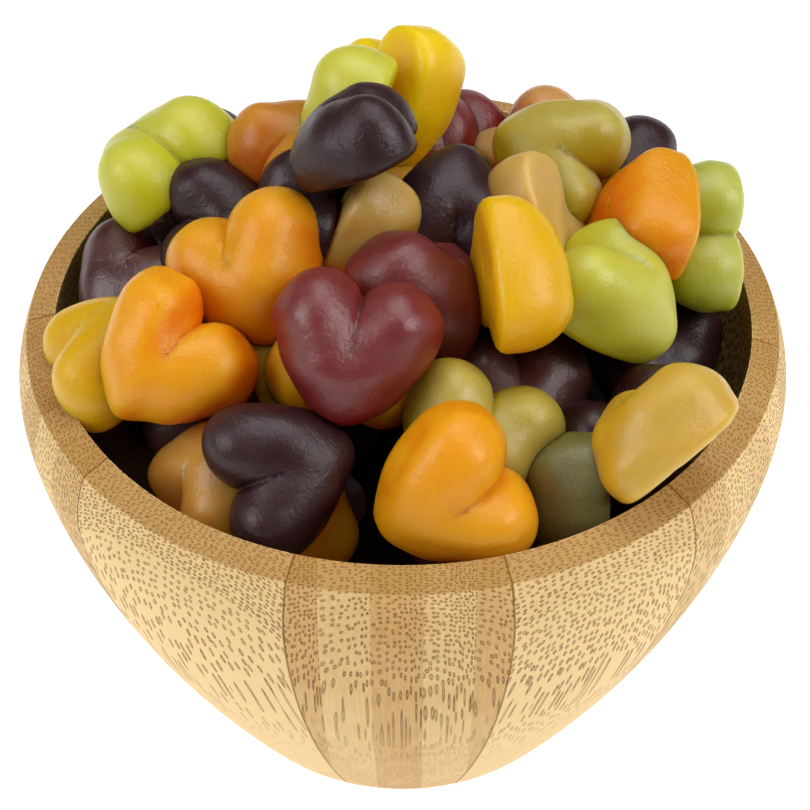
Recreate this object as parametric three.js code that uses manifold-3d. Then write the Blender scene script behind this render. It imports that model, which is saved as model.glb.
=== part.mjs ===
// A turned bamboo bowl heaped with heart-shaped gummy candies.
// Millimetres, +Z up, origin at the middle of the bowl's foot.
import * as THREE from "three";
import { mergeVertices } from "three/addons/utils/BufferGeometryUtils.js";
import Module from "manifold-3d";

// Bowl, outside
const FOOT_RADIUS = 33.5;
const WIDEST_RADIUS = 60;
const WIDEST_HEIGHT = 69;
const RIM_RADIUS = 58;
const RIM_HEIGHT = 78;
const FLARE = 1.5; // how the wall swings from the belly down to the foot: 1 is a cone, 2 a bow
const FOOT_EDGE = 1.2;

// Bowl, inside
const RIM_INNER_RADIUS = 53.7;
const RIM_INNER_HEIGHT = 79.2; // the rim's top leans a little outwards
const INNER_WIDEST = 55.2;
const FLOOR_RADIUS = 30;
const FLOOR_EDGE_HEIGHT = 9;
const FLOOR_HEIGHT = 7.5;
const FLOOR_FLAT_RADIUS = 24;
const RIM_EDGE = 0.7; // of the rim's small bevels
const RIM_BULGE = 0.2; // of a bevel's outer corner
const SHOULDER_DRAW = 0.5; // halfway from the belly to the rim

const ROUND = 48; // sides of a turned solid
const WALL_STEPS = 6;
const CLEARANCE = 0.4; // between the candies and the wood
const WELD = 1e-4; // points closer than this are one

// Candy heart: two egg-shaped lobes over a flat back, with a filled middle
const LOBE_RADIUS = 6.35;
const LOBE_LENGTH = 14.2; // from the lobe's round end towards the tip
const LOBE_SIDE = 5.35; // from the crease to the middle of a lobe
const LOBE_UP = 2.6;
const LOBE_LEAN = THREE.MathUtils.degToRad(24);
const DOME_STRETCH = 1.3;
const WALL_STRETCH = 2.6;
const WAIST_HEIGHT = 3.4; // of the widest level above the flat back
const BACK_EDGE = 0.9;
const MIDDLE = { up: -1.6, width: 7.6, length: 7.2, height: 5.2, blend: 2 };
const CREASE = { sharp: 0.1, soft: 1.8, from: 2.5, over: 9 };
const HEART_CENTRE = new THREE.Vector3(0, -1, 5.2); // the point that a place in the list means
const HEART_EYE = new THREE.Vector3(0, -0.6, 4.4); // the whole surface is seen from here
const HEART_REACH = 22;
const HEART_HALVINGS = 24;
const HEART_COLUMNS = 12;
const HEART_RINGS = 5;

// The heap's core, under the candies that show: radius and height
const CORE_TOP = [
  [50, 48],
  [45, 58],
  [37, 68],
  [27, 77],
  [17, 83],
  [8, 86],
  [0, 86],
];

// One row for each candy: its place, the azimuth of its domed face (from the front towards +X),
// that face's elevation, the spin of its tip about the face's direction, and its size.
const CANDIES = [
  // Top of the heap
  [-8, 2, 110, -130, 55, -45, 0.95],
  [-9, 21, 100, -105, 15, -45, 1.06],
  [0, 28, 98, 120, -25, 40, 1.06],
  [-15, 18, 95, 0, 90, -125, 1.06],
  [6, 29, 88, 50, 45, 35, 1.06],
  // Left side, from the back to the front
  [-25, 25, 87, 0, 60, 0, 1],
  [-39, 23, 90, -115, 50, 25, 1.06],
  [-28, 9, 87, -10, 55, -90, 1],
  [-23, -8, 93, -35, 45, -45, 1.06],
  [-42, 5, 79, -30, 75, 0, 1.06],
  [-44, -14, 83, -90, 55, 165, 0.97],
  [-34, -22, 89, 10, 45, 55, 1.03],
  [-39, -15, 63, 0, 60, 0, 1.06],
  // Middle
  [-6, 2, 91, 80, -25, 45, 1.06],
  [8, 4, 93, 0, 40, -175, 1.06],
  [3, 19, 84, 0, 55, 0, 1.06],
  [-7, -26, 94, 0, 45, 10, 1.06],
  [4, -9, 90, 105, 45, 55, 1],
  [17, -13, 98, 100, 0, -160, 1.06],
  [-19, -14, 81, 0, 55, 10, 1.06],
  [17, -17, 75, 10, 55, 5, 1.06],
  // Front, along the rim
  [-27, -31, 73, -65, 40, 175, 1.06],
  [-17, -38, 81, 0, 45, -110, 1],
  [-16, -29, 67, 0, 45, -165, 1.06],
  [-4, -27, 64, 0, 55, -10, 1.06],
  [7, -43, 81, 10, 25, 70, 1.03],
  [11, -30, 80, 15, 55, 30, 1.06],
  [24, -33, 70, -90, 0, -45, 1.06],
  [35, -36, 87, -125, 35, -90, 1],
  // Right side, from the front to the back
  [32, -9, 90, 105, 55, 35, 1.06],
  [39, -2, 70, 40, 65, 30, 1.06],
  [33, -3, 63, 0, 70, -20, 1.06],
  [45, 8, 86, -80, 10, 45, 1],
  [37, 6, 93, -85, 20, 140, 0.97],
  [21, 6, 91, -105, -30, -45, 0.95],
  [24, 17, 95, 0, 50, 115, 0.97],
  [33, 24, 87, 20, 75, 15, 1],
  [30, 15, 77, 0, 55, 0, 1.06],
  [21, 27, 87, -40, 65, -75, 1.06],
  // Under the ones that lie on top
  [-8, 12, 101, -130, 55, -45, 0.8],
  [-17, 4, 93, -90, 20, 0, 0.95],
  [-8, -18, 86, 0, 50, -170, 1],
  [-31, -18, 77, 0, 60, 40, 1],
  [9, -35, 70, 0, 55, 30, 1],
  [34, -27, 76, 0, 60, -30, 1],
  // Back
  [-14, 40, 80, 170, 50, 20, 1.03],
  [6, 42, 76, -170, 40, -160, 1],
  [23, 36, 78, 150, 50, 90, 1],
  [-14, 30, 82, -170, 50, -60, 1],
  [16, 37, 78, 170, 60, 140, 1],
  [-39, 20, 70, -110, 60, 30, 1],
  [38, 20, 82, 110, 55, -80, 1],
  [-28, 32, 75, -150, 55, 60, 1],
  [2, 33, 88, 180, 60, 10, 1],
];

const wasm = await Module();
wasm.setup();

// A closed geometry as a solid that can be joined and cut.
function solidOf(geometry) {
  const bare = geometry.clone();
  bare.deleteAttribute("normal");
  bare.deleteAttribute("uv");
  const merged = mergeVertices(bare, WELD);
  return new wasm.Manifold(
    new wasm.Mesh({
      numProp: 3,
      vertProperties: new Float32Array(merged.attributes.position.array),
      triVerts: new Uint32Array(merged.index.array),
    }),
  );
}

function geometryOf(solid) {
  const mesh = solid.getMesh();
  const geometry = new THREE.BufferGeometry();
  geometry.setAttribute("position", new THREE.BufferAttribute(mesh.vertProperties, mesh.numProp));
  geometry.setIndex(new THREE.BufferAttribute(mesh.triVerts, 1));
  return geometry;
}

// A solid turned about Z from [radius, height] points that start and end on the axis.
function turned(profile) {
  const points = profile.map(([radius, height]) => new THREE.Vector2(radius, height));
  return new THREE.LatheGeometry(points, ROUND).rotateX(Math.PI / 2);
}

// Points of a bowl wall from the height low to the height high, swinging out from inner to outer radius.
function wall(low, high, innerRadius, outerRadius) {
  return Array.from({ length: WALL_STEPS + 1 }, (_, step) => {
    const height = THREE.MathUtils.lerp(low, high, step / WALL_STEPS);
    const drop = (high - height) / (high - low);
    return [outerRadius - (outerRadius - innerRadius) * drop ** FLARE, height];
  });
}

// The bowl's profile; a clearance makes the same bowl with thicker insides.
function bowlProfile(clearance) {
  const outside = wall(0, WIDEST_HEIGHT, FOOT_RADIUS, WIDEST_RADIUS);
  outside[0] = [FOOT_RADIUS, FOOT_EDGE];
  const inside = wall(
    FLOOR_EDGE_HEIGHT + clearance,
    WIDEST_HEIGHT,
    FLOOR_RADIUS - clearance,
    INNER_WIDEST - clearance,
  ).reverse();
  const shoulder = (WIDEST_HEIGHT + RIM_HEIGHT) / 2;
  return [
    [0, 0],
    [FOOT_RADIUS - FOOT_EDGE, 0],
    ...outside,
    [WIDEST_RADIUS - SHOULDER_DRAW, shoulder],
    [RIM_RADIUS + RIM_BULGE, RIM_HEIGHT - RIM_EDGE],
    [RIM_RADIUS - RIM_EDGE, RIM_HEIGHT + RIM_BULGE + clearance],
    [RIM_INNER_RADIUS + RIM_EDGE - clearance, RIM_INNER_HEIGHT + clearance],
    [RIM_INNER_RADIUS - clearance, RIM_INNER_HEIGHT - RIM_EDGE],
    [(RIM_INNER_RADIUS + INNER_WIDEST) / 2 + RIM_BULGE - clearance, shoulder],
    ...inside,
    [FLOOR_FLAT_RADIUS, FLOOR_HEIGHT + clearance],
    [0, FLOOR_HEIGHT + clearance],
  ];
}

// The core fills the bowl under the candies and bulges up inside the heap.
function coreProfile() {
  const sides = wall(
    FLOOR_EDGE_HEIGHT + CLEARANCE,
    WIDEST_HEIGHT,
    FLOOR_RADIUS - CLEARANCE,
    INNER_WIDEST - CLEARANCE,
  ).filter(([, height]) => height < CORE_TOP[0][1]);
  return [
    [0, FLOOR_HEIGHT + CLEARANCE],
    [FLOOR_FLAT_RADIUS, FLOOR_HEIGHT + CLEARANCE],
    ...sides.map(([radius, height]) => [radius - CLEARANCE, height]),
    ...CORE_TOP,
  ];
}

// The smaller of two distances, rounded over where they are within the blend of each other.
function softMin(a, b, blend) {
  const share = THREE.MathUtils.clamp(0.5 + (b - a) / (2 * blend), 0, 1);
  return THREE.MathUtils.lerp(b, a, share) - blend * share * (1 - share);
}

// Distance to one lobe, side 1 or -1 of the crease: round above its middle, drawn out below it.
function lobeDistance(x, y, level, side) {
  const across = side * x - LOBE_SIDE;
  const up = y - LOBE_UP;
  const along = -across * Math.sin(LOBE_LEAN) - up * Math.cos(LOBE_LEAN);
  const aside = across * Math.cos(LOBE_LEAN) - up * Math.sin(LOBE_LEAN);
  const drawn = along > 0 ? (along * LOBE_RADIUS) / LOBE_LENGTH : along;
  return Math.hypot(drawn, aside, level) - LOBE_RADIUS;
}

// Below zero inside a candy heart that lies on its back, tip towards -Y.
function heartField({ x, y, z }) {
  const level = (z - WAIST_HEIGHT) / (z > WAIST_HEIGHT ? DOME_STRETCH : WALL_STRETCH);
  const fade = THREE.MathUtils.clamp((CREASE.from - y) / CREASE.over, 0, 1);
  const lobes = softMin(
    lobeDistance(x, y, level, 1),
    lobeDistance(x, y, level, -1),
    CREASE.sharp + CREASE.soft * fade,
  );
  const reach = Math.hypot(x / MIDDLE.width, (y - MIDDLE.up) / MIDDLE.length, level / MIDDLE.height);
  const body = softMin(lobes, (reach - 1) * MIDDLE.height, MIDDLE.blend);
  return -softMin(-body, z, BACK_EDGE);
}

// The heart's surface in one direction from its eye point, by halving.
function heartPoint(direction) {
  let near = 0;
  let far = HEART_REACH;
  const point = new THREE.Vector3();
  for (let halving = 0; halving < HEART_HALVINGS; halving += 1) {
    const middle = (near + far) / 2;
    point.copy(HEART_EYE).addScaledVector(direction, middle);
    if (heartField(point) < 0) near = middle;
    else far = middle;
  }
  return point;
}

// A heart of few sides: a globe of rings and columns pushed out to the heart's surface.
// A column runs down the crease.
function heartGeometry() {
  const globe = new THREE.SphereGeometry(1, HEART_COLUMNS, HEART_RINGS + 1, Math.PI / 2);
  globe.rotateX(Math.PI / 2);
  const position = globe.attributes.position;
  const direction = new THREE.Vector3();
  for (let index = 0; index < position.count; index += 1) {
    direction.fromBufferAttribute(position, index).normalize();
    const point = heartPoint(direction).sub(HEART_CENTRE);
    position.setXYZ(index, point.x, point.y, point.z);
  }
  return globe;
}

// The turn that makes a candy's dome look along azimuth and elevation, with its tip spun about that.
function candyTurn(azimuth, elevation, spin) {
  const [a, e, s] = [azimuth, elevation, spin].map(THREE.MathUtils.degToRad);
  const face = new THREE.Vector3(Math.sin(a) * Math.cos(e), -Math.cos(a) * Math.cos(e), Math.sin(e));
  const upSlope = new THREE.Vector3(-Math.sin(a) * Math.sin(e), Math.cos(a) * Math.sin(e), Math.cos(e));
  const notch = upSlope.applyAxisAngle(face, -s);
  const side = new THREE.Vector3().crossVectors(notch, face);
  return new THREE.Matrix4().makeBasis(side, notch, face);
}

// All the candies fused to the core, clear of the wood, with closed hollows and scraps left out.
function candyHeap() {
  const heart = heartGeometry();
  let heap = solidOf(turned(coreProfile()));
  for (const [x, y, z, azimuth, elevation, spin, size] of CANDIES) {
    const place = candyTurn(azimuth, elevation, spin);
    place.scale(new THREE.Vector3(size, size, size)).setPosition(x, y, z);
    heap = heap.add(solidOf(heart.clone().applyMatrix4(place)));
  }
  heap = heap.subtract(solidOf(turned(bowlProfile(CLEARANCE))));
  const pieces = heap.decompose();
  pieces.sort((a, b) => b.volume() - a.volume());
  return geometryOf(pieces[0]);
}

function named(name, geometry, material) {
  const mesh = new THREE.Mesh(geometry, material);
  mesh.name = name;
  return mesh;
}

const bamboo = new THREE.MeshStandardMaterial({ color: 0xd9b67c, roughness: 0.55, metalness: 0 });
const gummy = new THREE.MeshStandardMaterial({ color: 0xd08a30, roughness: 0.4, metalness: 0 });

const part = new THREE.Group();
part.add(named("bowl", turned(bowlProfile(0)), bamboo));
part.add(named("candies", candyHeap(), gummy));

export default part;
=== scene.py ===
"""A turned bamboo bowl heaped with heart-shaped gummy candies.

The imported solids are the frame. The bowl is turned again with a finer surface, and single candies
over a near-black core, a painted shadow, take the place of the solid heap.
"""
import math

import bpy
import numpy as np
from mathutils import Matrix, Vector


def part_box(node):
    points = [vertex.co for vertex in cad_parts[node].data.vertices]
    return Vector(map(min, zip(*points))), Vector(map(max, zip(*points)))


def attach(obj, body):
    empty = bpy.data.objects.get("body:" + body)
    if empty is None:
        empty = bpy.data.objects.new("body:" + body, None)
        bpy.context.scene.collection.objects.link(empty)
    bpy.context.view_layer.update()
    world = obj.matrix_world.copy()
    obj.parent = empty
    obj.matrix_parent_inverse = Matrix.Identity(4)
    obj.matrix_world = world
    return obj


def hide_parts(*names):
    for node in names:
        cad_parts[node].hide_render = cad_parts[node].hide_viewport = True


bl_info = {
    "name": "Bowl of heart candies",
    "version": (1, 0, 0),
    "blender": (4, 5, 0),
    "location": "View3D > Sidebar > Candy bowl",
    "description": "Makes a bamboo bowl heaped with heart-shaped gummies, its materials and its stage",
    "category": "Object",
}

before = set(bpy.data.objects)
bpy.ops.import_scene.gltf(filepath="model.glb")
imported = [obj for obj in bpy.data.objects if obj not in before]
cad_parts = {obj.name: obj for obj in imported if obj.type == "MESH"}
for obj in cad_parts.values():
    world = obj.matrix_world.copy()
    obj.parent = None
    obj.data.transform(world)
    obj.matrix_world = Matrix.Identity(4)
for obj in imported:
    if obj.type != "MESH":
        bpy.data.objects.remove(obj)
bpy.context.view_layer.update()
BOWL_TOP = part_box("bowl")[1]

MM = 0.001
SEED = 20

# Bamboo: blocks glued side by side in a ring, each glued up from strips, then turned on a lathe.
# Angles are seen from above, from the front towards the right.
BLOCK_JOINTS_DEG = (-172, -130, -88, -52, -16, 15, 44.5, 82, 118, 153)
# 0 is pale and 1 is deep, from the back on
BLOCK_TONES = (0.3, 0.65, 0.25, 0.4, 0.12, 0.6, 0.15, 0.3, 0.2, 0.55)
STRIP_WIDTH_MM = 7.3
STRIP_START_MM = -3.9
STRIP_TONE_STEP = -0.3  # every other strip is paler
STRIP_DENSITY_STEP = 0.382
BLOCK_DENSITY_STEP = 0.27
DENSITY_START = 0.15
FIBRE_LEAN_DEG = 19.0  # the fibres lean outwards going up
FIBRE_WANDER_MM = 1.5
FIBRE_WANDER_LENGTH_MM = 22.0
FIBRE_SIZE_MM = (0.4, 0.4, 12.0)  # across the block, through it and along the fibres
BUNDLE_SPACING_MM = (1.35, 0.85)  # in the loosest and the densest strips
BUNDLE_SQUEEZE = 2.3  # the bundles lie closer in towards the bowl's axis than along the wall
BUNDLE_CROWDING = 0.5  # how much closer they lie towards a strip's skin side
STRIP_SHIFT = 7.3  # sets the bundles of one strip apart from the next one's
BLOCK_SHIFT = 5.1
BUNDLE_EDGE = (0.31, 0.22)  # where a bundle's dark ring begins and is full, in spacings from its middle
BUNDLE_HOLE = (0.16, 0.06)  # the same for its paler middle
BUNDLE_FADE_MM = (20.0, 54.0)  # the heights between which the bundles come up from faint to full
BUNDLE_FAINT = 0.15
BUNDLE_RELIEF_MM = 0.06
# How squarely the fibres are cut where their ends begin to darken and where they are darkest
END_CUT = (0.72, 0.95)
GLUE_LINE_MM = (0.22, 0.08)  # how near a joint its dark line begins and is full
CLOUD_SIZE_MM = 9.0
TONE_SHARE = 0.5  # how much the clouds and the fibres each change the tone

# One row for each candy that shows: place in mm, azimuth of its domed face from the front towards +X,
# elevation of that face, spin of its tip about the face's direction, size and flavour.
CANDIES = (
    # Top of the heap
    (-8, 2, 110, -130, 55, -45, 0.95, "dark"),
    (-9, 21, 100, -105, 15, -45, 1.06, "lime"),
    (0, 28, 98, 120, -25, 40, 1.06, "lemon"),
    (-15, 18, 95, 0, 90, -125, 1.06, "honey"),
    (6, 29, 88, 50, 45, 35, 1.06, "cherry"),
    # Left side, from the back to the front
    (-25, 25, 87, 0, 60, 0, 1, "dark"),
    (-39, 23, 90, -115, 50, 25, 1.06, "lime"),
    (-28, 9, 87, -10, 55, -90, 1, "dark"),
    (-23, -8, 93, -35, 45, -45, 1.06, "orange"),
    (-42, 5, 79, -30, 75, 0, 1.06, "burgundy"),
    (-44, -14, 83, -90, 55, 165, 0.97, "yellow"),
    (-34, -22, 89, 10, 45, 55, 1.03, "orange"),
    (-39, -15, 63, 0, 60, 0, 1.06, "dark"),
    # Middle
    (-6, 2, 91, 80, -25, 45, 1.06, "tan"),
    (8, 4, 93, 0, 40, -175, 1.06, "dark"),
    (3, 19, 84, 0, 55, 0, 1.06, "orange"),
    (-7, -26, 94, 0, 45, 10, 1.06, "cherry"),
    (4, -9, 90, 105, 45, 55, 1, "cherry"),
    (17, -13, 98, 100, 0, -160, 1.06, "yellow"),
    (-19, -14, 81, 0, 55, 10, 1.06, "orange"),
    (17, -17, 75, 10, 55, 5, 1.06, "burgundy"),
    # Front, along the rim
    (-27, -31, 73, -65, 40, 175, 1.06, "amber"),
    (-17, -38, 81, 0, 45, -110, 1, "dark"),
    (-16, -29, 67, 0, 45, -165, 1.06, "orange"),
    (-4, -27, 64, 0, 55, -10, 1.06, "dark"),
    (7, -43, 81, 10, 25, 70, 1.03, "orange"),
    (11, -30, 80, 15, 55, 30, 1.06, "olive"),
    (24, -33, 70, -90, 0, -45, 1.06, "moss"),
    (35, -36, 87, -125, 35, -90, 1, "straw"),
    # Right side, from the front to the back
    (32, -9, 90, 90, 55, 30, 1.06, "lime"),
    (39, -2, 70, 40, 65, 30, 1.06, "dark"),
    (33, -3, 63, 0, 70, -20, 1.06, "dark"),
    (45, 8, 86, -80, 10, 45, 1, "leaf"),
    (37, 6, 93, -85, 20, 140, 0.97, "tangerine"),
    (21, 6, 91, -105, -30, -45, 0.95, "tan"),
    (24, 17, 95, 0, 50, 115, 0.97, "olive"),
    (33, 24, 87, 20, 75, 15, 1, "dark"),
    (30, 15, 77, 0, 55, 0, 1.06, "orange"),
    (21, 27, 87, -40, 65, -75, 1.06, "peach"),
    # Under the ones that lie on top
    (-8, 12, 101, -130, 55, -45, 0.8, "dark"),
    (-17, 4, 93, -90, 20, 0, 0.95, "dark"),
    (-8, -18, 86, 0, 50, -170, 1, "orange"),
    (-31, -18, 77, 0, 60, 40, 1, "dark"),
    (9, -35, 70, 0, 55, 30, 1, "dark"),
    (34, -27, 76, 0, 60, -30, 1, "dark"),
    # Back
    (-14, 40, 80, 170, 50, 20, 1.03, "orange"),
    (6, 42, 76, -170, 40, -160, 1, "yellow"),
    (23, 36, 78, 150, 50, 90, 1, "cherry"),
    (-14, 30, 82, -170, 50, -60, 1, "lime"),
    (16, 37, 78, 170, 60, 140, 1, "dark"),
    (-39, 20, 70, -110, 60, 30, 1, "dark"),
    (38, 20, 82, 110, 55, -80, 1, "orange"),
    (-28, 32, 75, -150, 55, 60, 1, "dark"),
    (2, 33, 88, 180, 60, 10, 1, "cherry"),
)

# Kinds of candy, each one joined piece, and their flavours
FLAVOURS = {
    "orange": ("orange", "tangerine", "peach", "honey"),
    "yellow": ("lemon", "yellow", "straw"),
    "lime": ("lime", "olive", "leaf", "moss"),
    "amber": ("amber", "tan"),
    "cherry": ("cherry", "burgundy"),
    "dark": ("dark",),
}
KIND_OF = {flavour: kind for kind, flavours in FLAVOURS.items() for flavour in flavours}

# How each kind looks: what is left of its red, green and blue on faces that look into the heap, as
# painted shade, the colour and the amount of the painted pale sheen on faces that look out, the roughness
# where it is smooth and where it is rough, the sheen of the jelly and the weight of the wax coat, how
# much light goes in, the shares of its reach that red, green and blue go, and that reach in mm
GUMMY_LOOKS = {
    "orange": {"deep": (0.95, 0.45, 0.06), "painted_sheen": 0xDCA044, "painted_sheen_share": 0.25, "roughness": (0.34, 0.46),
               "sheen": 0.3, "coat": 0.2, "soft": 1.0, "radius": (1.0, 0.5, 0.12), "reach": 7.0},
    "yellow": {"deep": (1.0, 0.88, 0.15), "painted_sheen": 0xDCB43C, "painted_sheen_share": 0.25, "roughness": (0.34, 0.46),
               "sheen": 0.35, "coat": 0.25, "soft": 1.0, "radius": (1.0, 0.7, 0.1), "reach": 7.0},
    "lime": {"deep": (1.0, 1.0, 0.12), "painted_sheen": 0xC8C880, "painted_sheen_share": 0.4, "roughness": (0.36, 0.48),
             "sheen": 0.6, "coat": 0.2, "soft": 1.0, "radius": (0.9, 0.9, 0.2), "reach": 7.0},
    "amber": {"deep": (0.85, 0.6, 0.2), "painted_sheen": 0xD2B47C, "painted_sheen_share": 0.4, "roughness": (0.34, 0.46),
              "sheen": 0.6, "coat": 0.2, "soft": 1.0, "radius": (1.0, 0.6, 0.2), "reach": 6.0},
    "cherry": {"deep": (1.4, 0.35, 0.25), "painted_sheen": 0xA87470, "painted_sheen_share": 0.2, "roughness": (0.36, 0.48),
               "sheen": 0.8, "coat": 0.0, "soft": 0.8, "radius": (1.0, 0.2, 0.1), "reach": 5.0},
    "dark": {"deep": (0.8, 0.4, 0.4), "painted_sheen": 0x5A3C40, "painted_sheen_share": 0.2, "roughness": (0.36, 0.48),
             "sheen": 0.5, "coat": 0.0, "soft": 0.3, "radius": (1.0, 0.4, 0.4), "reach": 1.5},
}

# Sizes of the jelly's patterns
JELLY_CLOUD_MM = 5.0
JELLY_GRAIN_MM = 0.5
JELLY_WRINKLE_MM = 1.4
JELLY_RELIEF_MM = 0.12
# The heap's middle sets where the candies get painted shade and painted sheen
HEAP_MIDDLE = (0.0, 0.0, 0.05)  # in metres: what the candies' outer faces look away from

# Heart: two egg-shaped lobes over a flat back, with a filled middle, in mm. The tip points to -Y.
LOBE_RADIUS = 6.35
LOBE_LENGTH = 14.2
LOBE_SIDE = 5.35
LOBE_UP = 2.6
LOBE_LEAN_DEG = 24.0
DOME_STRETCH = 1.3
WALL_STRETCH = 2.6
WAIST_HEIGHT = 3.4
BACK_EDGE = 1.5
MIDDLE_UP = -1.6
MIDDLE_SIZE = (7.6, 7.2)
MIDDLE_HEIGHTS = (5.5, 6.1)  # the lower the middle, the longer the crease
MIDDLE_BLEND = 2.0
CREASE_SHARP = 0.1
CREASE_SOFT = 1.8
CREASE_FROM = 2.5
CREASE_OVER = 9.0
GROOVE_DEPTH = 0.45  # the thin line that the mould leaves along the crease
GROOVE_WIDTH = 0.5
GROOVE_END = -2.0
GROOVE_FADE = 7.0
DENTS = 7  # marks of handling on each candy
DENT_RADII = (0.9, 2.4)
DENT_DEPTHS = (0.06, 0.26)
DISC_RADIUS = 2.0  # the round mark of the mould's vent
DISC_EDGE = 0.5
DISC_DEPTH = 0.16
CRUMBLE_WIDTH = 0.8  # the rough skin along the crease
CRUMBLE_DEPTH = 0.07
CRUMBLE_END = -2.0
WAVES = 4  # slow waves that make a candy's surface uneven
WAVE_SHARES = (0.4, 1.0)  # of the unevenness that is set
WAVE_PITCH = 0.35  # in radians for each mm
WAVE_PHASES = (0.0, 6.28)
TINT_RANGE = (0.93, 1.07)  # how dark and how light a candy may be beside its flavour
PATTERN_SHIFT = (-500.0, 500.0)  # sets each candy's pattern apart
HEART_CENTRE = np.array((0.0, -1.0, 5.2))  # the point that a candy's place is given for
HEART_EYE = np.array((0.0, -0.6, 4.4))  # the point inside that sees the whole surface
HEART_REACH = 22.0
HEART_COLUMNS = 96
HEART_RINGS = 47
CREASE_CROWDING = 0.5  # how much closer the columns stand at the crease
HALVINGS = 22

# The heap's core under the candies, near-black as a painted shadow in the gaps: radius and height in mm,
# from its underside to its top
CORE_PROFILE = (
    (0, 9), (24, 9), (29, 11), (48, 46), (43, 56), (35, 66), (26, 75), (16, 81), (8, 84), (0, 84),
)
CORE_SIDES = 48
CORE_PATCH_MM = 8.0
BOWL_SIDES = 256

# Stage, in metres and watts: each soft box's place, side and power
SOFT_BOXES = {
    "soft_box_above": ((0.05, 0.12, 0.68), 0.5, 2.0),
    "soft_box_left": ((-0.55, -0.22, 0.48), 0.45, 2.3),
    "soft_box_right": ((0.5, -0.22, 0.55), 0.42, 2.6),
}
HEAP_TARGET = (0.0, 0.0, 0.08)  # where the soft boxes look
WHITE = 0xFFFFFF
ROOM_LIGHT = 0.05
FLOOR_GLOW = 0.95
FLOOR_REACH_MM = 3000


def linear(hex_colour):
    """An sRGB hex colour as linear red, green and blue."""
    channels = [(hex_colour >> shift & 0xFF) / 255 for shift in (16, 8, 0)]
    return tuple(c / 12.92 if c <= 0.04045 else ((c + 0.055) / 1.055) ** 2.4 for c in channels)


def opaque(colour):
    """A colour of three channels with full alpha, as shader sockets take it."""
    return (*colour, 1.0)


def add_node(tree, kind, inputs=None, **settings):
    """Adds a node. An input is a value, a socket, or a node that gives its first output."""
    node = tree.nodes.new(kind)
    for name, value in settings.items():
        setattr(node, name, value)
    for socket, value in (inputs or {}).items():
        if isinstance(value, bpy.types.Node):
            value = value.outputs[0]
        if isinstance(value, bpy.types.NodeSocket):
            tree.links.new(value, node.inputs[socket])
        else:
            node.inputs[socket].default_value = value
    return node


def new_material(name):
    """A material with its node tree and its shader."""
    material = bpy.data.materials.new(name)
    material.use_nodes = True
    return material, material.node_tree, material.node_tree.nodes["Principled BSDF"]


def smooth_object(name, points, faces, material):
    """A smooth mesh object from points in mm, with one material."""
    mesh = bpy.data.meshes.new(name)
    mesh.from_pydata((np.asarray(points) * MM).tolist(), [], faces)
    mesh.polygons.foreach_set("use_smooth", np.ones(len(mesh.polygons), bool))
    mesh.materials.append(material)
    piece = bpy.data.objects.new(name, mesh)
    bpy.context.scene.collection.objects.link(piece)
    return piece


def turned(profile, sides):
    """Points and faces of a solid turned about Z, from a profile that begins and ends on the axis."""
    angles = np.arange(sides) * (2 * math.pi / sides)
    rings = np.asarray(profile[1:-1], float)
    around = np.stack([np.cos(angles), np.sin(angles)], 1)
    points = np.concatenate([
        np.repeat(rings[:, None, :1], sides, 1) * around[None],
        np.repeat(rings[:, None, 1:], sides, 1),
    ], 2).reshape(-1, 3)
    low, high = len(points), len(points) + 1
    points = np.concatenate([points, [(0, 0, profile[0][1]), (0, 0, profile[-1][1])]])
    faces = []
    for side in range(sides):
        after = (side + 1) % sides
        faces.append((low, after, side))
        for ring in range(len(rings) - 1):
            base = ring * sides
            faces.append((base + side, base + after, base + sides + after, base + sides + side))
        last = (len(rings) - 1) * sides
        faces.append((last + side, last + after, high))
    return points, faces


def arc(centre, radius, start_deg, end_deg, steps):
    """Points of an arc, as radius and height."""
    angles = np.radians(np.linspace(start_deg, end_deg, steps))
    return [(centre[0] + radius * math.cos(a), centre[1] + radius * math.sin(a)) for a in angles]


def length_setting(name, description, millimetres):
    """A length that the user can change."""
    return bpy.props.FloatProperty(
        name=name, description=description, default=millimetres * MM, unit="LENGTH")


def colour_setting(name, description, hex_colour):
    """A colour that the user can change."""
    return bpy.props.FloatVectorProperty(
        name=name, description=description, default=linear(hex_colour), subtype="COLOR")


class BowlSettings(bpy.types.PropertyGroup):
    """Sizes and colours of the bamboo bowl."""

    foot_radius: length_setting("Foot radius", "Radius of the flat foot", 33.5)
    belly_radius: length_setting("Belly radius", "Largest radius of the bowl", BOWL_TOP.x / MM)
    belly_height: length_setting("Belly height", "Height of the widest level", 69)
    rim_radius: length_setting("Rim radius", "Outer radius at the rim", 58)
    rim_drop: length_setting(
        "Rim drop", "How much lower the rim's outer edge is than its inner one", 1.2)
    rim_height: length_setting("Rim height", "Height of the rim's inner edge", BOWL_TOP.z / MM)
    rim_inner_radius: length_setting("Rim inner radius", "Inner radius at the rim", 53.7)
    inner_belly_radius: length_setting("Inner belly radius", "Largest inner radius", 55.2)
    floor_radius: length_setting("Floor radius", "Radius where the inner wall begins", 30)
    floor_height: length_setting("Floor height", "Height where the inner wall begins", 9)
    pale: colour_setting("Pale bamboo", "Side grain", 0xFCDA9C)
    deep: colour_setting("Deep bamboo", "Side grain of the darkest strips", 0xC6924A)
    end_grain: colour_setting("End grain", "Cut ends of the fibres, on the rim", 0xB08240)
    bundle: colour_setting("Bundles", "Outlines of the fibre bundles", 0x7E4804)


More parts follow.
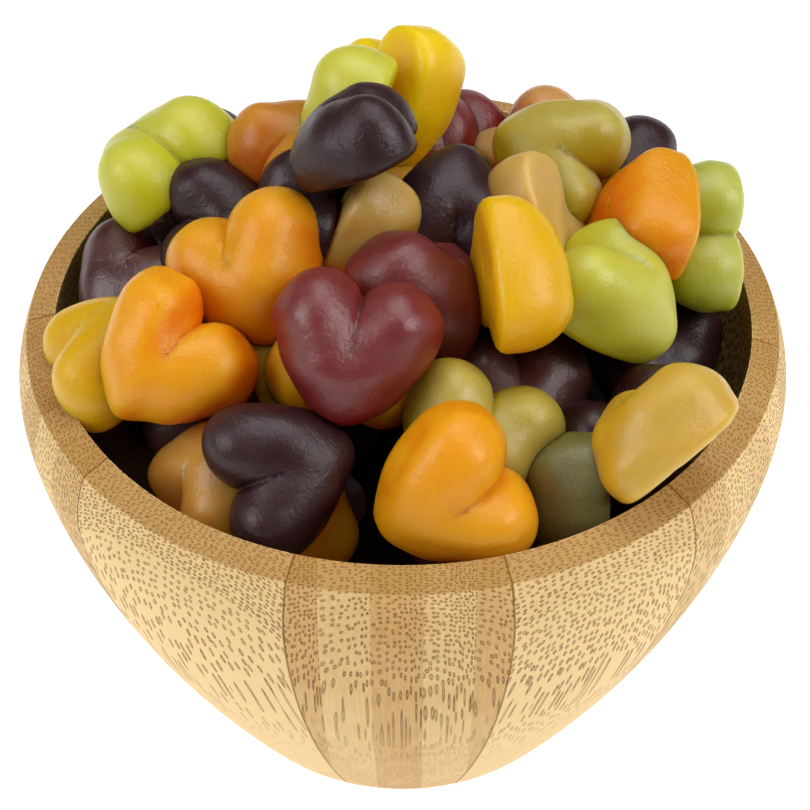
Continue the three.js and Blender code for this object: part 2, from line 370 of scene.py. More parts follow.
class CandySettings(bpy.types.PropertyGroup):
    """How the candies are finished, and the colours of their flavours."""

    unevenness: length_setting("Unevenness", "How far a candy's surface wanders", 0.22)
    lobe_spread: bpy.props.FloatProperty(
        name="Lobe spread", description="How much the two lobes differ", default=0.05, subtype="FACTOR")
    # Strength of the painted pale sheen on the faces that look out of the heap
    painted_sheen: bpy.props.FloatProperty(
        name="Bloom", description="Dry haze on the faces that look out of the heap",
        default=1.0, subtype="FACTOR")
    orange: colour_setting("Orange", "Warm orange jelly", 0xEEA60A)
    tangerine: colour_setting("Tangerine", "Redder orange jelly", 0xE69C0C)
    peach: colour_setting("Peach", "Pale, greyish orange jelly", 0xC4945C)
    honey: colour_setting("Honey", "Brownish orange jelly", 0xC48326)
    lemon: colour_setting("Lemon", "Bright yellow jelly", 0xFFCE08)
    yellow: colour_setting("Yellow", "Golden yellow jelly", 0xE4B202)
    straw: colour_setting("Straw", "Pale, dull yellow jelly", 0xCAA84C)
    lime: colour_setting("Lime", "Yellow-green jelly", 0xCCCA3A)
    olive: colour_setting("Olive", "Brownish green jelly", 0xBAA436)
    leaf: colour_setting("Leaf", "Dull yellow-green jelly", 0xB2B64E)
    moss: colour_setting("Moss", "Dark green jelly", 0x78764A)
    amber: colour_setting("Amber", "Golden brown jelly", 0xE0A030)
    tan: colour_setting("Tan", "Pale brown jelly", 0xD2AE5A)
    cherry: colour_setting("Cherry", "Dark red jelly", 0x721818)
    burgundy: colour_setting("Burgundy", "Brown-red jelly", 0x420F10)
    dark: colour_setting("Dark", "Near-black purple jelly", 0x2E1016)
    # Colours of the core's painted shadow
    shadow_purple: colour_setting("Shadow purple", "Purple patches of the core", 0x0A0306)
    shadow_brown: colour_setting("Shadow brown", "Brown patches of the core", 0x120803)


class StageSettings(bpy.types.PropertyGroup):
    """Camera, lights and floor."""

    camera_place: bpy.props.FloatVectorProperty(
        name="Camera", description="Where the camera stands", subtype="TRANSLATION", unit="LENGTH",
        default=(0.34 * MM, -251.2 * MM, 298.9 * MM))
    camera_target: bpy.props.FloatVectorProperty(
        name="Target", description="Where the camera looks", subtype="TRANSLATION", unit="LENGTH",
        default=(0.34 * MM, 0, 58 * MM))
    lens: bpy.props.FloatProperty(name="Lens", description="Focal length in mm", default=95.7)
    floor: colour_setting("Floor", "Colour of the floor", 0x959595)


def bowl_profile(bowl):
    """The bowl's outline in mm, from the middle of its foot over the rim to the middle of its floor."""
    foot, belly, rim = (v / MM for v in (bowl.foot_radius, bowl.belly_radius, bowl.rim_radius))
    belly_height, top = bowl.belly_height / MM, bowl.rim_height / MM
    inner_rim, inner_belly = bowl.rim_inner_radius / MM, bowl.inner_belly_radius / MM
    floor_radius, floor_height = bowl.floor_radius / MM, bowl.floor_height / MM
    outer_top = top - bowl.rim_drop / MM
    flare = 1.5  # power of the wall's curve from the belly down
    edge = 0.15
    edge_turn = 75  # degrees above level that the rim's sloping face looks to
    foot_edge = 1.2
    floor_dip = 1.5
    flat_share = 0.8
    outside = []
    for height in np.linspace(foot_edge, belly_height, 40):
        drop = (belly_height - height) / belly_height
        outside.append((belly - (belly - foot) * drop ** flare, height))
    # The last step up to the rim is short, so that its edge stays crisp
    shares = (*np.linspace(0, 1, 8)[:-1], 0.99, 1.0)
    for share in shares[1:]:
        height = belly_height + (outer_top - edge - belly_height) * share
        outside.append((belly - (belly - rim) * share ** 2, height))
    outer_edge = arc((rim - edge, outer_top - edge), edge, 0, edge_turn, 5)
    inner_edge = arc((inner_rim + edge, top - edge), edge, edge_turn, 180, 6)
    rim_start, rim_end = np.array(outer_edge[-1]), np.array(inner_edge[0])
    flat_rim = [tuple(rim_start + (rim_end - rim_start) * share) for share in (0.02, 0.98)]
    inside = []
    for share in shares[-2::-1]:
        height = belly_height + (top - edge - belly_height) * share
        inside.append((inner_belly - (inner_belly - inner_rim) * share ** 2, height))
    for height in np.linspace(belly_height, floor_height, 24)[1:]:
        drop = (belly_height - height) / (belly_height - floor_height)
        inside.append((inner_belly - (inner_belly - floor_radius) * drop ** flare, height))
    foot_curve = arc((foot - foot_edge, foot_edge), foot_edge, -90, -10, 6)
    low = floor_height - floor_dip
    return [
        (0, 0), (foot / 2, 0), *foot_curve, *outside, *outer_edge, *flat_rim, *inner_edge, *inside,
        (floor_radius * flat_share, low), (0, low),
    ]


def bamboo_material(bowl):
    """Laminated bamboo, turned and oiled.

    The lathe cuts the fibre bundles across on the rim, where they show as dots, and along on the lower
    wall, where they show as streaks that fade towards the foot. The oil leaves a low sheen, and the cut
    ends are darker than the sides.
    """
    material, tree, shader = new_material("bamboo_laminated_turned")
    place = add_node(tree, "ShaderNodeTexCoord")
    in_mm = add_node(
        tree, "ShaderNodeVectorMath", {0: place.outputs["Object"], "Scale": 1 / MM}, operation="SCALE")
    axes = add_node(tree, "ShaderNodeSeparateXYZ", {0: in_mm})
    front = add_node(tree, "ShaderNodeMath", {0: axes.outputs["Y"], 1: -1.0}, operation="MULTIPLY")
    angle = add_node(tree, "ShaderNodeMath", {0: axes.outputs["X"], 1: front}, operation="ARCTAN2")
    flat = add_node(tree, "ShaderNodeVectorMath", {0: in_mm, 1: (1, 1, 0)}, operation="MULTIPLY")
    radius = add_node(tree, "ShaderNodeVectorMath", {0: flat}, operation="LENGTH").outputs["Value"]

    # Which block of the ring this is, the angle of its middle, and how near its joint is
    joints = [math.radians(j) for j in BLOCK_JOINTS_DEG]
    ends = [joints[-1] - 2 * math.pi, *joints, joints[0] + 2 * math.pi]
    middles = [(a + b) / 2 for a, b in zip(ends, ends[1:])]
    block, block_tone, middle, nearest = 0.0, BLOCK_TONES[0], middles[0], math.pi
    tones = (*BLOCK_TONES, BLOCK_TONES[0])
    for index, joint in enumerate(joints):
        past = add_node(tree, "ShaderNodeMath", {0: angle, 1: joint}, operation="GREATER_THAN")
        block = add_node(tree, "ShaderNodeMath", {0: block, 1: past}, operation="ADD")
        turn_step = middles[index + 1] - middles[index]
        middle = add_node(
            tree, "ShaderNodeMath", {0: past, 1: turn_step, 2: middle}, operation="MULTIPLY_ADD")
        tone_step = tones[index + 1] - tones[index]
        block_tone = add_node(
            tree, "ShaderNodeMath", {0: past, 1: tone_step, 2: block_tone}, operation="MULTIPLY_ADD")
        away = add_node(tree, "ShaderNodeMath", {0: angle, 1: joint}, operation="SUBTRACT")
        away = add_node(tree, "ShaderNodeMath", {0: away}, operation="ABSOLUTE")
        nearest = add_node(tree, "ShaderNodeMath", {0: nearest, 1: away}, operation="MINIMUM")
    block = add_node(tree, "ShaderNodeMath", {0: block, 1: len(joints)}, operation="MODULO")
    joint_gap = add_node(tree, "ShaderNodeMath", {0: nearest, 1: radius}, operation="MULTIPLY")

    # Across the block, through its leaning fibres, and along them
    turn = add_node(tree, "ShaderNodeMath", {0: angle, 1: middle}, operation="SUBTRACT")
    sine = add_node(tree, "ShaderNodeMath", {0: turn}, operation="SINE")
    cosine = add_node(tree, "ShaderNodeMath", {0: turn}, operation="COSINE")
    across = add_node(tree, "ShaderNodeMath", {0: radius, 1: sine}, operation="MULTIPLY")
    outwards = add_node(tree, "ShaderNodeMath", {0: radius, 1: cosine}, operation="MULTIPLY")
    lean = math.radians(FIBRE_LEAN_DEG)
    wander = add_node(
        tree, "ShaderNodeTexNoise",
        {"Vector": in_mm, "Scale": 1 / FIBRE_WANDER_LENGTH_MM, "Detail": 1.0})
    height = axes.outputs["Z"]
    climb = add_node(tree, "ShaderNodeMath", {0: height, 1: -math.sin(lean)}, operation="MULTIPLY")
    climb = add_node(
        tree, "ShaderNodeMath", {0: wander, 1: FIBRE_WANDER_MM, 2: climb}, operation="MULTIPLY_ADD")
    through = add_node(
        tree, "ShaderNodeMath", {0: outwards, 1: math.cos(lean), 2: climb}, operation="MULTIPLY_ADD")
    along = add_node(tree, "ShaderNodeMath", {0: height, 1: math.cos(lean)}, operation="MULTIPLY")
    along = add_node(
        tree, "ShaderNodeMath", {0: outwards, 1: math.sin(lean), 2: along}, operation="MULTIPLY_ADD")

    # Strips: upright in every other block, flat layers in those between
    odd = add_node(tree, "ShaderNodeMath", {0: block, 1: 2.0}, operation="MODULO")
    layered = add_node(tree, "ShaderNodeMath", {0: 1.0, 1: odd}, operation="SUBTRACT")
    in_strips = add_node(tree, "ShaderNodeMix", {0: odd, 2: through, 3: across}, data_type="FLOAT")
    in_strips = add_node(tree, "ShaderNodeMath", {0: in_strips, 1: STRIP_START_MM}, operation="SUBTRACT")
    in_strips = add_node(tree, "ShaderNodeMath", {0: in_strips, 1: STRIP_WIDTH_MM}, operation="DIVIDE")
    strip = add_node(tree, "ShaderNodeMath", {0: in_strips}, operation="FLOOR")
    skinward = add_node(tree, "ShaderNodeMath", {0: in_strips}, operation="FRACT")
    dense = add_node(
        tree, "ShaderNodeMath", {0: strip, 1: STRIP_DENSITY_STEP, 2: DENSITY_START},
        operation="MULTIPLY_ADD")
    dense = add_node(
        tree, "ShaderNodeMath", {0: block, 1: BLOCK_DENSITY_STEP, 2: dense}, operation="MULTIPLY_ADD")
    dense = add_node(tree, "ShaderNodeMath", {0: dense}, operation="FRACT")
    turned_over = add_node(tree, "ShaderNodeMath", {0: strip, 1: 1.0}, operation="PINGPONG")
    tone = add_node(
        tree, "ShaderNodeMath", {0: turned_over, 1: STRIP_TONE_STEP, 2: block_tone},
        operation="MULTIPLY_ADD")

    # Fibre bundles: dark rings with a paler middle, closer together towards the skin side of a strip
    loose, tight = BUNDLE_SPACING_MM
    density = add_node(
        tree, "ShaderNodeMapRange", {"Value": dense, "To Min": 1 / loose, "To Max": 1 / tight})
    crowd = add_node(
        tree, "ShaderNodeMath", {0: skinward, 1: BUNDLE_CROWDING, 2: -BUNDLE_CROWDING / 2},
        operation="MULTIPLY_ADD")
    crowd = add_node(tree, "ShaderNodeMath", {0: crowd, 1: skinward}, operation="MULTIPLY")
    crowd = add_node(tree, "ShaderNodeMath", {0: crowd, 1: STRIP_WIDTH_MM}, operation="MULTIPLY")
    bundle_u = add_node(tree, "ShaderNodeMath", {0: crowd, 1: odd, 2: across}, operation="MULTIPLY_ADD")
    bundle_w = add_node(tree, "ShaderNodeMath", {0: through, 1: BUNDLE_SQUEEZE}, operation="MULTIPLY")
    bundle_w = add_node(
        tree, "ShaderNodeMath", {0: crowd, 1: layered, 2: bundle_w}, operation="MULTIPLY_ADD")
    bundle_u = add_node(tree, "ShaderNodeMath", {0: bundle_u, 1: density}, operation="MULTIPLY")
    bundle_w = add_node(tree, "ShaderNodeMath", {0: bundle_w, 1: density}, operation="MULTIPLY")
    bundle_u = add_node(
        tree, "ShaderNodeMath", {0: strip, 1: STRIP_SHIFT, 2: bundle_u}, operation="MULTIPLY_ADD")
    bundle_w = add_node(
        tree, "ShaderNodeMath", {0: block, 1: BLOCK_SHIFT, 2: bundle_w}, operation="MULTIPLY_ADD")
    bundle_place = add_node(tree, "ShaderNodeCombineXYZ", {0: bundle_u, 1: bundle_w})
    cells = add_node(
        tree, "ShaderNodeTexVoronoi", {"Vector": bundle_place, "Scale": 1.0, "Randomness": 0.6},
        voronoi_dimensions="2D")
    fullness = add_node(tree, "ShaderNodeMapRange", {"Value": dense, "To Min": 1.12, "To Max": 0.84})
    from_middle = add_node(
        tree, "ShaderNodeMath", {0: cells.outputs["Distance"], 1: fullness}, operation="MULTIPLY")
    begins, full = BUNDLE_EDGE
    disc = add_node(
        tree, "ShaderNodeMapRange",
        {"Value": from_middle, "From Min": begins, "From Max": full}, interpolation_type="SMOOTHSTEP")
    begins, full = BUNDLE_HOLE
    hole = add_node(
        tree, "ShaderNodeMapRange",
        {"Value": from_middle, "From Min": begins, "From Max": full, "To Max": 0.6},
        interpolation_type="SMOOTHSTEP")
    ring = add_node(tree, "ShaderNodeMath", {0: disc, 1: hole}, operation="SUBTRACT")
    chance = add_node(tree, "ShaderNodeSeparateColor", {0: cells.outputs["Color"]})
    strength = add_node(
        tree, "ShaderNodeMapRange", {"Value": chance.outputs["Red"], "To Min": 0.75, "To Max": 1.0})
    darker = add_node(tree, "ShaderNodeMapRange", {"Value": skinward, "To Min": 0.75, "To Max": 1.0})
    strength = add_node(tree, "ShaderNodeMath", {0: strength, 1: darker}, operation="MULTIPLY")
    ring = add_node(tree, "ShaderNodeMath", {0: ring, 1: strength}, operation="MULTIPLY")
    # The bundles fade towards the foot
    faint, full = BUNDLE_FADE_MM
    shown = add_node(
        tree, "ShaderNodeMapRange",
        {"Value": height, "From Min": faint, "From Max": full, "To Min": BUNDLE_FAINT, "To Max": 1.0},
        interpolation_type="SMOOTHSTEP")
    ring = add_node(tree, "ShaderNodeMath", {0: ring, 1: shown}, operation="MULTIPLY")

    # How squarely the fibres are cut
    surface = add_node(tree, "ShaderNodeNewGeometry")
    normal = add_node(tree, "ShaderNodeSeparateXYZ", {0: surface.outputs["Normal"]})
    middle_sine = add_node(tree, "ShaderNodeMath", {0: middle}, operation="SINE")
    middle_cosine = add_node(tree, "ShaderNodeMath", {0: middle}, operation="COSINE")
    side_x = add_node(
        tree, "ShaderNodeMath", {0: normal.outputs["X"], 1: middle_sine}, operation="MULTIPLY")
    side_y = add_node(
        tree, "ShaderNodeMath", {0: normal.outputs["Y"], 1: middle_cosine}, operation="MULTIPLY")
    facing = add_node(tree, "ShaderNodeMath", {0: side_x, 1: side_y}, operation="SUBTRACT")
    facing = add_node(tree, "ShaderNodeMath", {0: facing, 1: math.sin(lean)}, operation="MULTIPLY")
    facing = add_node(
        tree, "ShaderNodeMath", {0: normal.outputs["Z"], 1: math.cos(lean), 2: facing},
        operation="MULTIPLY_ADD")
    facing = add_node(tree, "ShaderNodeMath", {0: facing}, operation="ABSOLUTE")
    begins, full = END_CUT
    end_cut = add_node(
        tree, "ShaderNodeMapRange",
        {"Value": facing, "From Min": begins, "From Max": full, "To Max": 0.75},
        interpolation_type="SMOOTHSTEP")

    # Colour: strip by strip, clouded, with fine fibres, bundles, cut ends and glue lines
    cloud = add_node(
        tree, "ShaderNodeTexNoise", {"Vector": in_mm, "Scale": 1 / CLOUD_SIZE_MM, "Detail": 3.0})
    fibre_place = add_node(tree, "ShaderNodeCombineXYZ", {0: across, 1: through, 2: along})
    fibre_place = add_node(
        tree, "ShaderNodeVectorMath", {0: fibre_place, 1: FIBRE_SIZE_MM}, operation="DIVIDE")
    fibre = add_node(tree, "ShaderNodeTexNoise", {"Vector": fibre_place, "Scale": 1.0, "Detail": 2.0})
    depth = add_node(
        tree, "ShaderNodeMath", {0: cloud, 1: TONE_SHARE, 2: tone}, operation="MULTIPLY_ADD")
    depth = add_node(
        tree, "ShaderNodeMath", {0: fibre, 1: TONE_SHARE, 2: depth}, operation="MULTIPLY_ADD")
    depth = add_node(tree, "ShaderNodeMath", {0: depth, 1: TONE_SHARE}, operation="SUBTRACT")
    side_colour = add_node(
        tree, "ShaderNodeMix", {0: depth, 6: opaque(bowl.pale), 7: opaque(bowl.deep)}, data_type="RGBA")
    wood = add_node(
        tree, "ShaderNodeMix", {0: end_cut, 6: side_colour.outputs[2], 7: opaque(bowl.end_grain)},
        data_type="RGBA")
    wood = add_node(
        tree, "ShaderNodeMix", {0: ring, 6: wood.outputs[2], 7: opaque(bowl.bundle)}, data_type="RGBA")
    begins, full = GLUE_LINE_MM
    glue = add_node(
        tree, "ShaderNodeMapRange",
        {"Value": joint_gap, "From Min": begins, "From Max": full, "To Max": 0.75},
        interpolation_type="SMOOTHSTEP")
    wood = add_node(
        tree, "ShaderNodeMix", {0: glue, 6: wood.outputs[2], 7: opaque(bowl.bundle)}, data_type="RGBA")
    tree.links.new(wood.outputs[2], shader.inputs["Base Color"])

    # Bundles as fine hollows
    relief = add_node(tree, "ShaderNodeMath", {0: ring, 1: -1.0}, operation="MULTIPLY")
    bump = add_node(
        tree, "ShaderNodeBump", {"Height": relief, "Strength": 0.4, "Distance": BUNDLE_RELIEF_MM * MM})
    tree.links.new(bump.outputs[0], shader.inputs["Normal"])
    shader.inputs["Roughness"].default_value = 0.58
    shader.inputs["IOR"].default_value = 1.45
    shader.inputs["Specular IOR Level"].default_value = 0.2
    return material


def soft_min(a, b, blend):
    """The smaller of two distances, rounded over where they are within the blend of each other."""
    share = np.clip(0.5 + (b - a) / (2 * blend), 0, 1)
    return b + (a - b) * share - blend * share * (1 - share)


def lobe_distance(x, y, level, side, swell):
    """Distance to one lobe, side 1 or -1 of the crease: round above its middle, drawn out below it."""
    lean = math.radians(LOBE_LEAN_DEG)
    across = side * x - LOBE_SIDE
    up = y - LOBE_UP
    along = -across * math.sin(lean) - up * math.cos(lean)
    aside = across * math.cos(lean) - up * math.sin(lean)
    drawn = np.where(along > 0, along * LOBE_RADIUS / LOBE_LENGTH, along)
    return np.sqrt(drawn ** 2 + aside ** 2 + level ** 2) - LOBE_RADIUS * swell


def heart_field(points, swell, height):
    """Below zero inside a heart that lies on its back, with its middle filled to a height."""
    x, y, z = points.T
    level = (z - WAIST_HEIGHT) / np.where(z > WAIST_HEIGHT, DOME_STRETCH, WALL_STRETCH)
    fade = np.clip((CREASE_FROM - y) / CREASE_OVER, 0, 1)
    lobes = soft_min(
        lobe_distance(x, y, level, 1, swell[0]),
        lobe_distance(x, y, level, -1, swell[1]),
        CREASE_SHARP + CREASE_SOFT * fade,
    )
    width, length = MIDDLE_SIZE
    reach = np.sqrt((x / width) ** 2 + ((y - MIDDLE_UP) / length) ** 2 + (level / height) ** 2)
    body = soft_min(lobes, (reach - 1) * height, MIDDLE_BLEND)
    groove = GROOVE_DEPTH * np.exp(-(x / GROOVE_WIDTH) ** 2)
    body = body + groove * np.clip((y - GROOVE_END) / GROOVE_FADE, 0, 1)
    return -soft_min(-body, z, BACK_EDGE)


def globe():
    """Directions and faces of a globe of rings and columns; one column runs down the crease."""
    turns = np.arange(HEART_COLUMNS) * (2 * math.pi / HEART_COLUMNS)
    turns = math.pi / 2 + turns - CREASE_CROWDING / 2 * np.sin(2 * turns)
    tilts = np.arange(1, HEART_RINGS + 1) * (math.pi / (HEART_RINGS + 1))
    ring = np.stack([np.cos(turns), np.sin(turns), np.zeros(HEART_COLUMNS)], 1)
    directions = np.concatenate([
        math.sin(tilt) * ring + (0, 0, math.cos(tilt)) for tilt in tilts
    ] + [np.array([(0, 0, 1.0), (0, 0, -1.0)])])
    top, bottom = len(directions) - 2, len(directions) - 1
    faces = []
    for column in range(HEART_COLUMNS):
        after = (column + 1) % HEART_COLUMNS
        faces.append((top, column, after))
        for row in range(HEART_RINGS - 1):
            base = row * HEART_COLUMNS
            below = base + HEART_COLUMNS
            faces.append((base + column, below + column, below + after, base + after))
        last = (HEART_RINGS - 1) * HEART_COLUMNS
        faces.append((last + column, bottom, last + after))
    return directions, faces


def heart_points(directions, swell, height, waves):
    """The heart's surface in each direction from its eye point, by halving, with a little unevenness."""
    near = np.zeros(len(directions))
    far = np.full(len(directions), HEART_REACH)
    for _ in range(HALVINGS):
        middle = (near + far) / 2
        inside = heart_field(HEART_EYE + directions * middle[:, None], swell, height) < 0
        near = np.where(inside, middle, near)
        far = np.where(inside, far, middle)
    points = HEART_EYE + directions * near[:, None]
    for push, pitch, phase in waves:
        points = points + directions * (push * np.sin(points @ pitch + phase))[:, None]
    return points


def pressed_points(points, directions, draw):
    """The heart's surface with dents of handling and the mould's disc mark and crumbly crease."""
    push = np.zeros(len(points))
    for _ in range(DENTS):
        away = np.linalg.norm(points - points[draw.integers(len(points))], axis=1)
        push -= draw.uniform(*DENT_DEPTHS) * np.exp(-(away / draw.uniform(*DENT_RADII)) ** 2)
    away = np.linalg.norm(points - points[draw.integers(len(points))], axis=1)
    push -= DISC_DEPTH * np.clip((DISC_RADIUS - away) / DISC_EDGE, 0, 1)
    crease = np.exp(-(points[:, 0] / CRUMBLE_WIDTH) ** 2)
    crease = crease * (points[:, 1] > CRUMBLE_END) * (points[:, 2] > WAIST_HEIGHT)
    push += CRUMBLE_DEPTH * crease * draw.normal(0, 1, len(points))
    return points + directions * push[:, None]


def candy_turn(azimuth, elevation, spin):
    """Side, notch and face directions of a candy, as the rows of a matrix."""
    a, e, s = np.radians((azimuth, elevation, spin))
    face = np.array((math.sin(a) * math.cos(e), -math.cos(a) * math.cos(e), math.sin(e)))
    up_slope = np.array((-math.sin(a) * math.sin(e), math.cos(a) * math.sin(e), math.cos(e)))
    notch = up_slope * math.cos(s) + np.cross(up_slope, face) * math.sin(s)
    return np.stack([np.cross(notch, face), notch, face])


def gummy_material(kind, candy):
    """Fruit jelly, cast in starch moulds and lightly waxed.

    Light goes some way into it, and a painted shade deepens the faces that look into the heap. The wax
    gives a satin sheen, broken by fine grain and wrinkles, with a thin coat on the pale kinds. The faces
    that look out of the heap carry a painted sheen, a grainy, paler colour.
    """
    look = GUMMY_LOOKS[kind]
    material, tree, shader = new_material("fruit_jelly_" + kind)
    tint = add_node(tree, "ShaderNodeAttribute", attribute_name="tint").outputs["Color"]
    local = add_node(tree, "ShaderNodeAttribute", attribute_name="local").outputs["Vector"]

    # How far a face looks out of the heap
    place = add_node(tree, "ShaderNodeTexCoord").outputs["Object"]
    outward = add_node(tree, "ShaderNodeVectorMath", {0: place, 1: HEAP_MIDDLE}, operation="SUBTRACT")
    outward = add_node(tree, "ShaderNodeVectorMath", {0: outward}, operation="NORMALIZE")
    facing = add_node(tree, "ShaderNodeNewGeometry").outputs["Normal"]
    exposed = add_node(tree, "ShaderNodeVectorMath", {0: facing, 1: outward}, operation="DOT_PRODUCT")
    exposed = exposed.outputs["Value"]

    # Colour: painted shade where faces look into the heap, a grainy, pale painted sheen where they look
    # out
    cloud = add_node(
        tree, "ShaderNodeTexNoise", {"Vector": local, "Scale": 1 / JELLY_CLOUD_MM, "Detail": 4.0})
    grain = add_node(
        tree, "ShaderNodeTexNoise", {"Vector": local, "Scale": 1 / JELLY_GRAIN_MM, "Detail": 1.0})
    # Painted shade: the tint made deeper for faces that look into the heap
    deep = add_node(tree, "ShaderNodeVectorMath", {0: tint, 1: look["deep"]}, operation="MULTIPLY")
    shade = add_node(tree, "ShaderNodeMath", {0: cloud, 1: 1.1, 2: exposed}, operation="MULTIPLY_ADD")
    lit = add_node(
        tree, "ShaderNodeMapRange", {"Value": shade, "From Min": 0.2, "From Max": 1.35},
        interpolation_type="SMOOTHSTEP")
    colour = add_node(tree, "ShaderNodeMix", {0: lit, 6: deep, 7: tint}, data_type="RGBA").outputs[2]
    # Painted sheen: a grainy, pale colour on faces that look out of the heap
    painted_sheen_share = add_node(
        tree, "ShaderNodeMapRange",
        {"Value": exposed, "From Min": 0.2, "From Max": 1.0, "To Max": candy.painted_sheen * look["painted_sheen_share"]},
        interpolation_type="SMOOTHSTEP")
    painted_sheen_grain = add_node(
        tree, "ShaderNodeMapRange",
        {"Value": grain, "From Min": 0.3, "From Max": 0.7, "To Min": 0.7, "To Max": 1.3})
    painted_sheen_share = add_node(tree, "ShaderNodeMath", {0: painted_sheen_share, 1: cloud}, operation="MULTIPLY")
    painted_sheen_share = add_node(tree, "ShaderNodeMath", {0: painted_sheen_share, 1: painted_sheen_grain}, operation="MULTIPLY")
    colour = add_node(
        tree, "ShaderNodeMix", {0: painted_sheen_share, 6: colour, 7: opaque(linear(look["painted_sheen"]))}, data_type="RGBA")
    tree.links.new(colour.outputs[2], shader.inputs["Base Color"])

    # Surface: fine grain of the starch mould, and patches where the dried skin is wrinkled
    wrinkle = add_node(
        tree, "ShaderNodeTexNoise",
        {"Vector": local, "Scale": 1 / JELLY_WRINKLE_MM, "Detail": 3.0, "Distortion": 0.6})
    patch = add_node(
        tree, "ShaderNodeMapRange", {"Value": cloud, "From Min": 0.42, "From Max": 0.6},
        interpolation_type="SMOOTHSTEP")
    wrinkled = add_node(tree, "ShaderNodeMath", {0: wrinkle, 1: patch}, operation="MULTIPLY")
    height = add_node(tree, "ShaderNodeMath", {0: grain, 1: 0.5, 2: wrinkled}, operation="MULTIPLY_ADD")
    bump = add_node(
        tree, "ShaderNodeBump", {"Height": height, "Strength": 1.0, "Distance": JELLY_RELIEF_MM * MM})
    tree.links.new(bump.outputs[0], shader.inputs["Normal"])
    tree.links.new(bump.outputs[0], shader.inputs["Coat Normal"])
    shader.inputs["Coat Weight"].default_value = look["coat"]
    shader.inputs["Coat Roughness"].default_value = 0.2
    shader.inputs["Coat IOR"].default_value = 1.4
    smooth, rough = look["roughness"]
    polish = add_node(
        tree, "ShaderNodeMapRange",
        {"Value": cloud, "From Min": 0.35, "From Max": 0.65, "To Min": smooth, "To Max": rough})
    tree.links.new(polish.outputs[0], shader.inputs["Roughness"])
    shader.inputs["Specular IOR Level"].default_value = look["sheen"]
    shader.inputs["Subsurface Weight"].default_value = look["soft"]
    shader.inputs["Subsurface Radius"].default_value = look["radius"]
    shader.inputs["Subsurface Scale"].default_value = look["reach"] * MM
    return material


def painted_shadow_core_material(candy):
    """Near-black fill for the jelly deep in the heap, a painted shadow where little light comes.

    It shows as near-black brown and purple patches between the candies, with hardly any sheen.
    """
    material, tree, shader = new_material("fruit_jelly_shadowed")
    place = add_node(tree, "ShaderNodeTexCoord").outputs["Object"]
    # Painted shadow: two near-black colours in patches
    patches = add_node(
        tree, "ShaderNodeTexNoise", {"Vector": place, "Scale": 1 / (CORE_PATCH_MM * MM), "Detail": 2.0})
    colour = add_node(
        tree, "ShaderNodeMix",
        {0: patches, 6: opaque(candy.shadow_purple), 7: opaque(candy.shadow_brown)}, data_type="RGBA")
    tree.links.new(colour.outputs[2], shader.inputs["Base Color"])
    shader.inputs["Roughness"].default_value = 0.8
    shader.inputs["Specular IOR Level"].default_value = 0.1
    return material


class CANDYBOWL_OT_bowl(bpy.types.Operator):
    """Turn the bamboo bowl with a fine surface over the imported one"""

    bl_idname = "candybowl.bowl"
    bl_label = "Turn the bowl"

    def execute(self, context):
        settings = context.scene.candy_bowl
        points, faces = turned(bowl_profile(settings), BOWL_SIDES)
        bowl = smooth_object("bowl_turned", points, faces, bamboo_material(settings))
        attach(bowl, "root")
        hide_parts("bowl")
        return {"FINISHED"}


class CANDYBOWL_OT_core(bpy.types.Operator):
    """Fill the bowl under the candies that show"""

    bl_idname = "candybowl.core"
    bl_label = "Fill the core"

    def execute(self, context):
        settings = context.scene.candy_heap
        points, faces = turned(CORE_PROFILE, CORE_SIDES)
        # The core is near-black, a painted shadow in the gaps between the candies
        core = smooth_object("heap_core", points, faces, painted_shadow_core_material(settings))
        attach(core, "root")
        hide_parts("candies")
        return {"FINISHED"}


class CANDYBOWL_OT_candies(bpy.types.Operator):
    """Heap the heart candies, one joined piece for each kind"""

    bl_idname = "candybowl.candies"
    bl_label = "Heap the candies"

    def execute(self, context):
        settings = context.scene.candy_heap
        draw = np.random.default_rng(SEED)
        handling = np.random.default_rng(SEED + 1)
        directions, faces = globe()
        depth = settings.unevenness / MM
        heaps = {}
        for x, y, z, azimuth, elevation, spin, size, flavour in CANDIES:
            swell = 1 + settings.lobe_spread * draw.uniform(-1, 1, 2)
            waves = [
                (
                    depth * draw.uniform(*WAVE_SHARES),
                    draw.normal(0, WAVE_PITCH, 3),
                    draw.uniform(*WAVE_PHASES),
                )
                for _ in range(WAVES)
            ]
            local = heart_points(directions, swell, draw.uniform(*MIDDLE_HEIGHTS), waves)
            local = pressed_points(local, directions, handling)
            placed = size * (local - HEART_CENTRE) @ candy_turn(azimuth, elevation, spin) + (x, y, z)
            tint = np.array(getattr(settings, flavour)[:]) * draw.uniform(*TINT_RANGE)
            own = local + draw.uniform(*PATTERN_SHIFT, 3)
            heaps.setdefault(KIND_OF[flavour], []).append((placed, own, tint))
        for kind, candies in heaps.items():
            self.join(kind, candies, directions, faces, settings)
        return {"FINISHED"}

    def join(self, kind, candies, directions, faces, settings):
        """Joins the candies of a kind into one piece with their tints and their own coordinates."""
        count = len(directions)
        shifted = [
            tuple(corner + index * count for corner in face)
            for index in range(len(candies)) for face in faces
        ]
        points = np.concatenate([placed for placed, _, _ in candies])
        piece = smooth_object("candies_" + kind, points, shifted, gummy_material(kind, settings))
        local = piece.data.attributes.new("local", "FLOAT_VECTOR", "POINT")
        places = np.concatenate([own for _, own, _ in candies])
        local.data.foreach_set("vector", places.astype(np.float32).ravel())
        tint = piece.data.attributes.new("tint", "FLOAT_COLOR", "POINT")
        tints = np.concatenate([np.tile(opaque(colour), (count, 1)) for _, _, colour in candies])
        tint.data.foreach_set("color", tints.astype(np.float32).ravel())
        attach(piece, "root")
        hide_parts("candies")


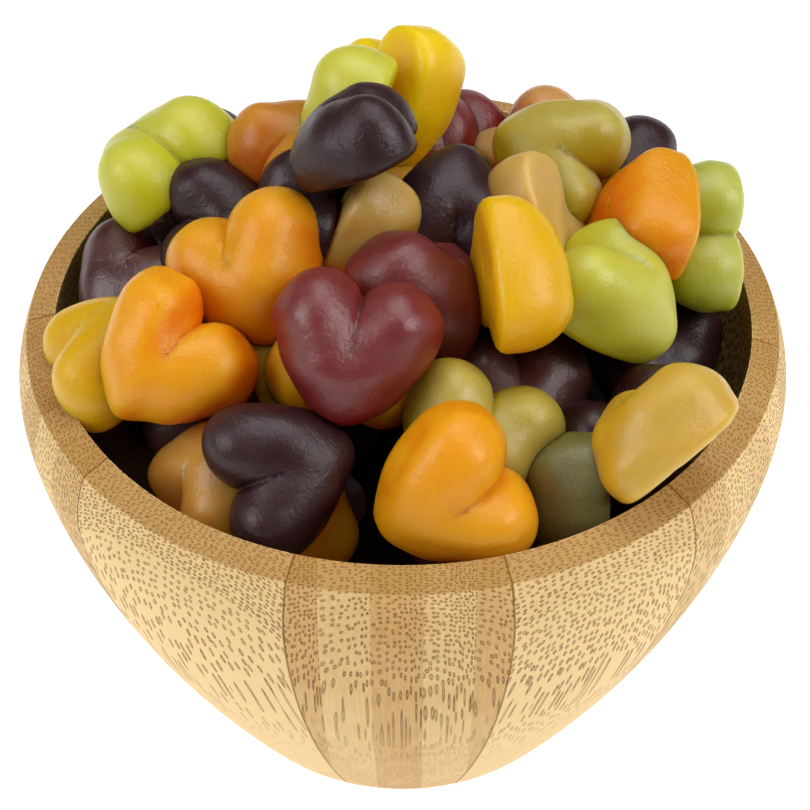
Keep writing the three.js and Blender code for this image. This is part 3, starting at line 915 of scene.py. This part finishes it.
class CANDYBOWL_OT_stage(bpy.types.Operator):
    """Set the camera, the lights and the floor"""

    bl_idname = "candybowl.stage"
    bl_label = "Set the stage"

    def execute(self, context):
        stage = context.scene.candy_stage
        camera = bpy.data.objects.new("camera", bpy.data.cameras.new("camera"))
        context.scene.collection.objects.link(camera)
        camera.location = stage.camera_place
        aim = Vector(stage.camera_target) - Vector(stage.camera_place)
        camera.rotation_euler = aim.to_track_quat("-Z", "Y").to_euler()
        camera.data.lens = stage.lens
        camera.data.clip_start = 0.01
        context.scene.camera = camera
        for name, (place, side, power) in SOFT_BOXES.items():
            self.light(name, place, side, power)
        world = bpy.data.worlds.new("white_room")
        world.use_nodes = True
        background = world.node_tree.nodes["Background"]
        background.inputs["Color"].default_value = opaque(linear(WHITE))
        background.inputs["Strength"].default_value = ROOM_LIGHT
        context.scene.world = world
        context.scene.view_settings.view_transform = "Standard"
        # White paper, lit enough to stay white round the bowl, with hardly any sheen
        material, _, shader = new_material("floor_paper_white")
        shader.inputs["Base Color"].default_value = opaque(stage.floor)
        shader.inputs["Roughness"].default_value = 0.9
        shader.inputs["Emission Color"].default_value = opaque(linear(WHITE))
        shader.inputs["Emission Strength"].default_value = FLOOR_GLOW
        reach = FLOOR_REACH_MM
        corners = [(-reach, -reach, 0), (reach, -reach, 0), (reach, reach, 0), (-reach, reach, 0)]
        floor = smooth_object("floor", corners, [(0, 1, 2, 3)], material)
        return {"FINISHED"}

    def light(self, name, place, side, power):
        """A square soft box that looks at the heap."""
        data = bpy.data.lights.new(name, "AREA")
        data.size = side
        data.energy = power
        lamp = bpy.data.objects.new(name, data)
        bpy.context.scene.collection.objects.link(lamp)
        lamp.location = place
        aim = Vector(HEAP_TARGET) - Vector(place)
        lamp.rotation_euler = aim.to_track_quat("-Z", "Y").to_euler()


class CANDYBOWL_PT_panel(bpy.types.Panel):
    """The candy bowl's settings and steps"""

    bl_idname = "CANDYBOWL_PT_panel"
    bl_label = "Candy bowl"
    bl_space_type = "VIEW_3D"
    bl_region_type = "UI"
    bl_category = "Candy bowl"

    def draw(self, context):
        for settings in (context.scene.candy_bowl, context.scene.candy_heap, context.scene.candy_stage):
            box = self.layout.box()
            for name in settings.__annotations__:
                box.prop(settings, name)
        for operator in OPERATORS:
            self.layout.operator(operator.bl_idname)


GROUPS = {"candy_bowl": BowlSettings, "candy_heap": CandySettings, "candy_stage": StageSettings}
OPERATORS = (CANDYBOWL_OT_bowl, CANDYBOWL_OT_core, CANDYBOWL_OT_candies, CANDYBOWL_OT_stage)


def register():
    for name, group in GROUPS.items():
        bpy.utils.register_class(group)
        setattr(bpy.types.Scene, name, bpy.props.PointerProperty(type=group))
    for made in (*OPERATORS, CANDYBOWL_PT_panel):
        bpy.utils.register_class(made)


def unregister():
    for made in reversed((*OPERATORS, CANDYBOWL_PT_panel)):
        bpy.utils.unregister_class(made)
    for name, group in GROUPS.items():
        delattr(bpy.types.Scene, name)
        bpy.utils.unregister_class(group)


def main():
    register()
    bpy.ops.candybowl.bowl()
    bpy.ops.candybowl.core()
    bpy.ops.candybowl.candies()
    bpy.ops.candybowl.stage()


if __name__ == "__main__":
    main()
